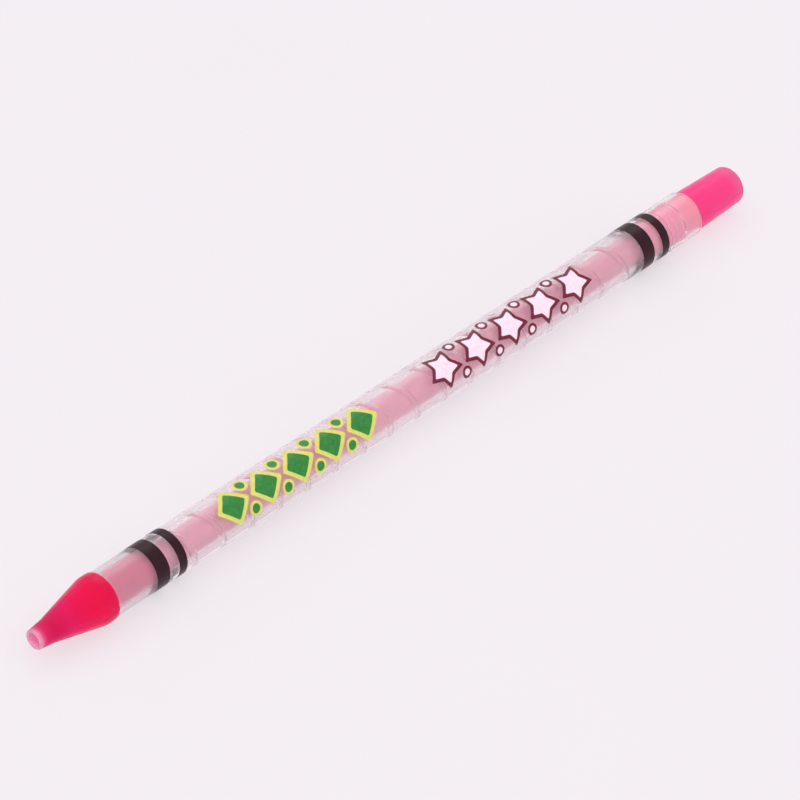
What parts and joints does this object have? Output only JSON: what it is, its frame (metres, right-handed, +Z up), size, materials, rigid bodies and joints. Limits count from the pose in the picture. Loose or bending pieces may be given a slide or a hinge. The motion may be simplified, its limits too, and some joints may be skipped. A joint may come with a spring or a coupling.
{
  "type": "twist-up coloured pencil",
  "caption": "Twist-up coloured pencil: clear barrel with a spiral groove inside, pink nose cone and twist knob; turning the knob winds the lead out of the tip.",
  "frame": {"origin": "middle of the pencil's length and width, on the surface it lies on", "axes": "+X along the pencil from the tip to the knob, +Z up from the surface it lies on, +Y across"},
  "size_m": [0.175, 0.0088, 0.0089],
  "materials": {
    "clear_barrel": "clear, moulded, polished",
    "pink_translucent": "translucent, moulded, polished",
    "pink_translucent_knob": "translucent, moulded, polished",
    "milky_tube": "milky, moulded",
    "carrier_white": "moulded",
    "pink_lead": "waxy, extruded",
    "black_ink": "printed ink"
  },
  "bodies": {
    "barrel_assembly": {"barrel": "clear_barrel", "nose_cone": "pink_translucent", "front_broad_ring": "black_ink", "front_fine_ring": "black_ink", "rear_broad_ring": "black_ink", "rear_fine_ring": "black_ink"},
    "knob_assembly": {"twist_knob": "pink_translucent_knob", "drive_tube": "milky_tube"},
    "lead_assembly": {"lead_carrier": "carrier_white", "lead": "pink_lead"}
  },
  "joints": [
    {"name": "knob_twist", "type": "hinge", "parent": "barrel_assembly", "child": "knob_assembly", "pos_m": [0.0875, 0, 0.00445], "axis": [-1, 0, 0], "range_deg": [0, 5972]},
    {"name": "lead_advance", "type": "slide", "parent": "knob_assembly", "child": "lead_assembly", "axis": [-1, 0, 0], "range_m": [0, 0.1128]}
  ],
  "couplings": [
    {"joint": "knob_twist", "follows": "lead_advance", "rad_per_m": 924}
  ]
}
